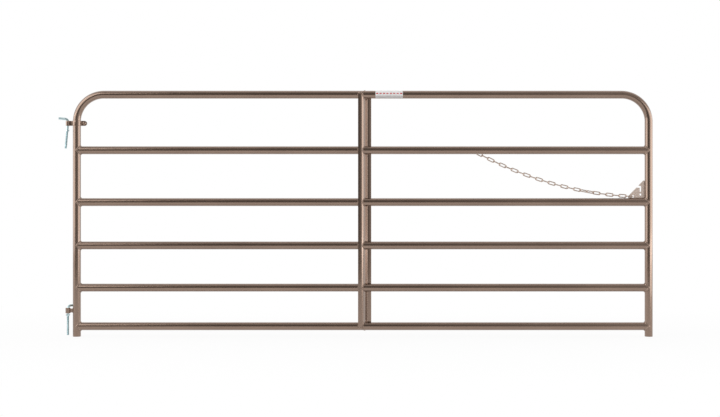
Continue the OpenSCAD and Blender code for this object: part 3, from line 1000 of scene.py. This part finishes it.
def hook(node, body, eye_node, turn, lean, nut_drop):
    """A bent rod with a threaded shank and a nut, hanging in an eye on the hinge line."""
    low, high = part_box(eye_node)
    eye = np.array([0, 0, (low.z + high.z) / 2])
    eye_length = high.z - low.z
    along_arm, up_shank = hook_axes(turn, lean)
    nut_foot = -eye_length / 2 - nut_drop - HOOK_NUT_H
    points, faces = hook_rod(elbow_start(eye_length, lean), nut_foot - HOOK_THREAD_DROP)
    bent = placed(points, eye, along_arm, up_shank), faces
    piece(node + "_rod", body, "bright_zinc", [bent], [node])
    nut_place = eye + nut_foot * up_shank
    nut = hex_nut(
        HOOK_NUT_FLATS, HOOK_NUT_H, HOOK_R + NUT_ROOM, nut_place, along_arm, up_shank
    )
    piece(node + "_nut_hex", body, "bright_zinc", [nut], [node + "_nut"], SHARP_ON_NUT)


# Upper hinge


def bend_centre(circle_x, circle_r, ply_y, bend_r, side):
    """Centre of the bend by which a ply at -ply_y runs onto a circle about (circle_x, 0)."""
    y = ply_y + bend_r
    return np.array([circle_x + side * math.sqrt((circle_r + bend_r) ** 2 - y**2), -y])


def strap_path(ear_end, tip_r):
    """Middle of the folded strip seen from above, ear to ear, with its half heights."""
    half = STRAP_SHEET / 2
    eye_r, band_r = EYE_BORE_R + half, TUBE_R + STRAP_ROOM + half
    neck_y, ear_y = NECK_SLIT / 2 + half, EAR_GAP / 2 + half
    upright = np.array([LEFT_X, 0])
    ear = bend_centre(LEFT_X, band_r, ear_y, EAR_BEND, 1)
    neck = bend_centre(LEFT_X, band_r, neck_y, NECK_BEND, -1)
    eye = bend_centre(0, eye_r, neck_y, NECK_BEND, 1)
    from_ear = math.atan2(*(ear - upright)[::-1])
    to_neck = math.atan2(*(neck - upright)[::-1])
    to_eye = math.atan2(*eye[::-1])
    tip = np.linspace(EAR_TIP_START, 0, EAR_TIP_STEPS)
    tip_x = ear_end - tip_r * (1 - np.sin(tip))
    ear_tip = np.column_stack([tip_x, np.full(EAR_TIP_STEPS, -ear_y)])
    front = joined(
        ear_tip,
        line(ear_tip[-1], (ear[0], -ear_y), STRAP_STRAIGHT_STEPS),
        flat_arc(ear, EAR_BEND, QUARTER, from_ear + math.pi, STRAP_BEND_STEPS),
        flat_arc(upright, band_r, from_ear, to_neck, STRAP_BAND_STEPS),
        flat_arc(neck, NECK_BEND, to_neck + math.pi, QUARTER, STRAP_BEND_STEPS),
        line((neck[0], -neck_y), (eye[0], -neck_y), STRAP_STRAIGHT_STEPS),
        flat_arc(eye, NECK_BEND, QUARTER, to_eye + math.pi, STRAP_BEND_STEPS),
        flat_arc((0, 0), eye_r, to_eye, -math.pi, STRAP_EYE_STEPS),
    )
    heights = np.full(len(front), tip_r)
    heights[:EAR_TIP_STEPS] = tip_r * np.cos(tip)
    back = (front * (1, -1))[-2::-1]
    return np.concatenate([front, back]), np.concatenate([heights, heights[-2::-1]])


def strap_section(half_height):
    """The strip cut across, thickness by height, with its four edges rounded."""
    x, y = STRAP_SHEET / 2 - STRAP_EDGE, half_height - STRAP_EDGE
    corners = ((x, y), (-x, y), (-x, -y), (x, -y))
    return np.concatenate([
        flat_arc(corner, STRAP_EDGE, k * QUARTER, (k + 1) * QUARTER, STRAP_EDGE_STEPS)
        for k, corner in enumerate(corners)
    ])


def upper_hinge_strap():
    """One strip folded round the eye and the upright, with its plies together at the neck."""
    low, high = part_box("upper_hinge_strap")
    path, heights = strap_path(high.x, (high.z - low.z) / 2)
    along = unit(np.gradient(path, axis=0))
    across = np.column_stack([-along[:, 1], along[:, 0], np.zeros(len(path))])
    centre_z = (low.z + high.z) / 2
    rings = []
    for (x, y), side, half_height in zip(path, across, heights):
        section = strap_section(half_height)
        off_middle = section[:, :1] * side + section[:, 1:] * UP
        rings.append(np.array([x, y, centre_z]) + off_middle)
    strap = shell(rings)
    piece("upper_hinge_strap_bent", "upper_hinge", "brown_paint", [strap], ["upper_hinge_strap"])


def on_bolt(y):
    """The place on the clamp bolt's axis at y."""
    low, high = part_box("clamp_bolt")
    return (low.x + high.x) / 2, y, (low.z + high.z) / 2


def clamp_bolt():
    """A bolt through the strap's ears, from its domed head at the front to its thread's end."""
    low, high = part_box("clamp_bolt")
    washer_low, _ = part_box("clamp_washer")
    nut_low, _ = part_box("clamp_nut")
    head_r = (high.x - low.x) / 2
    head_y = -washer_low.y
    dome_h = head_y - low.y
    dome_r = (head_r**2 + dome_h**2) / (2 * dome_h)
    angles = np.linspace(DOME_START_ANGLE, math.asin(min(head_r / dome_r, 1)), DOME_STEPS)
    thread_start = nut_low.y - CLAMP_THREAD_BEFORE_NUT
    thread, thread_radii = threaded(
        on_bolt(thread_start),
        BACK,
        high.y - thread_start - CLAMP_BOLT_CHAMFER,
        CLAMP_BOLT_R,
        CLAMP_BOLT_PITCH,
        CLAMP_BOLT_DEPTH,
    )
    plain_y = [
        *(low.y + dome_r * (1 - np.cos(angles))),
        head_y + CLAMP_HEAD_FILLET,
        thread_start - CLAMP_THREAD_JOIN,
    ]
    plain = [on_bolt(y) for y in plain_y]
    path = np.concatenate([plain, thread, [on_bolt(high.y)]])
    radii = np.concatenate([
        round_rows(DOME_STEPS, (dome_r * np.sin(angles))[:, None]),
        round_rows(2, CLAMP_BOLT_R),
        thread_radii,
        round_rows(1, CLAMP_BOLT_R - CLAMP_BOLT_CHAMFER),
    ])
    bolt = rod(path, radii, THREAD_SIDES)
    piece("clamp_bolt_domed", "upper_hinge", "brown_paint", [bolt], ["clamp_bolt"])


def clamp_washer():
    low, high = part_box("clamp_washer")
    bore, outside = CLAMP_BOLT_R + WASHER_ROOM, (high.x - low.x) / 2
    washer = soft_ring(
        bore, outside, high.y - low.y, WASHER_SOFTENING, on_bolt(low.y), ACROSS, BACK
    )
    piece("clamp_washer_ring", "upper_hinge", "brown_paint", [washer], ["clamp_washer"])


def clamp_nut():
    low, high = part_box("clamp_nut")
    nut = hex_nut(
        CLAMP_NUT_FLATS, high.y - low.y, CLAMP_BOLT_R + NUT_ROOM, on_bolt(low.y), ACROSS, BACK
    )
    piece("clamp_nut_hex", "upper_hinge", "brown_paint", [nut], ["clamp_nut"], SHARP_ON_NUT)


# Lower hinge


def lower_eye():
    """A short tube on a plate, welded to the upright."""
    low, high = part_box("lower_hinge_eye")
    r, length = (high.x - low.x) / 2, high.z - low.z
    eye = soft_ring(EYE_BORE_R, r, length, EYE_SOFTENING, (0, 0, low.z), ACROSS, UP)
    piece("lower_hinge_eye_tube", "gate_frame", "brown_paint", [eye], ["lower_hinge_eye"])
    rounded_copy("lower_hinge_neck", "lower_hinge_neck_plate", "brown_paint", NECK_EDGE)
    neck_low, neck_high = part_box("lower_hinge_neck")
    half = (neck_high.y - neck_low.y) / 2
    bottom, top = neck_low.z, neck_high.z
    beads = []
    for k, (centre_x, radius, side) in enumerate(((0, r, 1), (LEFT_X, TUBE_R, -1))):
        x = centre_x + side * math.sqrt(radius**2 - half**2)
        corners = [(x, -half, bottom), (x, half, bottom), (x, half, top), (x, -half, top)]
        beads.append(weld(corners, SMALL_WELD_R, EYE_SEED + k, closed=True))
    weld_piece("lower_hinge_weld", beads)


def hinges():
    upper_hinge_strap()
    clamp_bolt()
    clamp_washer()
    clamp_nut()
    lower_eye()
    hook(
        "upper_hook",
        "upper_hinge_hook",
        "upper_hinge_strap",
        UPPER_HOOK_TURN,
        UPPER_HOOK_LEAN,
        UPPER_NUT_DROP,
    )
    hook(
        "lower_hook", "lower_hinge_hook", "lower_hinge_eye", LOWER_HOOK_TURN, 0, LOWER_NUT_DROP
    )


def label():
    rounded_copy("label", "label_sheet", "label_vinyl", LABEL_EDGE, LABEL_ROUNDED_FROM)


# Stage, lights and camera


def floor_material():
    """Pale floor that keeps a shadow, and that camera and mirrors see as white further out."""
    s = Shader("floor_white")
    s.set(Base_Color=(0.80, 0.80, 0.80, 1), Roughness=0.9)
    glow = s.add("ShaderNodeEmission", {"Color": WHITE, "Strength": 1.0})
    path = s.add("ShaderNodeLightPath").outputs
    seen = path["Is Camera Ray"]
    for kind in ("Is Glossy Ray", "Is Transmission Ray"):
        seen = s.maths("MAXIMUM", seen, path[kind])
    away = s.maths("ABSOLUTE", s.axes(s.place())["Y"])
    white = s.span(
        away, between=(FLOOR_WHITE_FROM, FLOOR_WHITE_TO), to=(FLOOR_WHITE_SHARE, 1.0)
    )
    share = s.maths("MULTIPLY", seen, white)
    inputs = {0: share, 1: s.surface.outputs[0], 2: glow.outputs[0]}
    mixed = s.add("ShaderNodeMixShader", inputs).outputs[0]
    s.feed(s.tree.nodes["Material Output"].inputs["Surface"], mixed)
    return s.material


def floor():
    left, right = MIDDLE_X - FLOOR_HALF, MIDDLE_X + FLOOR_HALF
    corners = [
        (left, FLOOR_FRONT, -FLOOR_DROP),
        (right, FLOOR_FRONT, -FLOOR_DROP),
        (right, FLOOR_BACK, -FLOOR_DROP),
        (left, FLOOR_BACK, -FLOOR_DROP),
    ]
    mesh = bpy.data.meshes.new("floor")
    mesh.from_pydata(corners, [], [(0, 1, 2, 3)])
    mesh.materials.append(floor_material())
    made = bpy.data.objects.new("floor", mesh)
    bpy.context.scene.collection.objects.link(made)


def studio_world():
    """White behind and beside the gate, dark before it, dim to its right; the camera sees white."""
    world = bpy.data.worlds.new("studio")
    bpy.context.scene.world = world
    world.use_nodes = True
    s = Nodes(world.node_tree)
    direction = s.axes(s.add("ShaderNodeTexCoord").outputs["Generated"])

    def ramp(value, between, bright):
        return s.span(value, between, (DARK_STUDIO, bright), interpolation_type="SMOOTHSTEP")

    behind = ramp(direction["Y"], between=(-0.75, -0.05), bright=1.0)
    sideways = s.maths("ABSOLUTE", direction["X"])
    beside = ramp(sideways, between=(0.75, 0.90), bright=1.0)
    right_front = ramp(direction["X"], between=(0.0, 0.30), bright=DIM_STUDIO)
    backdrop = s.maths("MAXIMUM", s.maths("MAXIMUM", behind, beside), right_front)
    path = s.add("ShaderNodeLightPath").outputs
    mirrored = s.maths("MAXIMUM", path["Is Glossy Ray"], path["Is Transmission Ray"])
    mirrored = s.maths("MULTIPLY", mirrored, backdrop)
    white = s.maths("MAXIMUM", path["Is Camera Ray"], mirrored)
    light = s.maths("MULTIPLY", backdrop, BACKDROP_LIGHT)
    background = s.tree.nodes["Background"].inputs
    s.feed(background["Strength"], s.maths("MAXIMUM", light, white))
    s.feed(background["Color"], WHITE)


def soft_box(name, place, aim, size, radiance):
    """A light panel of even brightness, facing a point."""
    lamp = bpy.data.lights.new(name, "AREA")
    lamp.shape = "RECTANGLE"
    lamp.size, lamp.size_y = size
    lamp.energy = radiance * math.pi * size[0] * size[1]
    made = bpy.data.objects.new(name, lamp)
    made.location = place
    made.rotation_euler = (Vector(aim) - Vector(place)).to_track_quat("-Z", "Y").to_euler()
    bpy.context.scene.collection.objects.link(made)


def panel(name, start, end, heights, radiance):
    """An upright panel between two points of the floor, facing left of the way along it."""
    start, end = Vector((*start, 0)), Vector((*end, 0))
    along = end - start
    place = (start + end) / 2 + Vector((0, 0, sum(heights) / 2))
    facing = Vector((-along.y, along.x, 0))
    size = (along.length, heights[1] - heights[0])
    soft_box(name, place, place + facing, size, radiance)


def lights():
    panel("left_panel", start=(-7.4, 2.0), end=(-4.2, -7.4), heights=(0.2, 3.0), radiance=1.4)
    panel("right_panel", start=(4.95, -3.65), end=(10.1, 3.0), heights=(0.2, 3.0), radiance=1.7)
    panel("right_card", start=(4.4, -2.6), end=(5.8, -0.6), heights=(0.02, 0.42), radiance=2.0)
    soft_box(
        "left_key",
        place=(MIDDLE_X - 4.4, -3.0, 3.8),
        aim=(MIDDLE_X, 0, 0.6),
        size=(5.6, 3.6),
        radiance=2.0,
    )


def camera():
    data = bpy.data.cameras.new("camera")
    data.sensor_width = SENSOR
    data.lens = SENSOR * CAMERA_DISTANCE / PICTURE_WIDTH_AT_GATE
    made = bpy.data.objects.new("camera", data)
    made.location = (PICTURE_MIDDLE_X, -CAMERA_DISTANCE, PICTURE_MIDDLE_Z)
    made.rotation_euler = (QUARTER, 0, 0)
    bpy.context.scene.collection.objects.link(made)
    bpy.context.scene.camera = made


bpy.context.scene.view_settings.view_transform = "Standard"
frame_hoop()
for rail_name in RAIL_NAMES:
    rail(rail_name)
centre_brace()
latch_plate()
latch_chain()
chain_keeper()
hinges()
label()
floor()
studio_world()
lights()
camera()
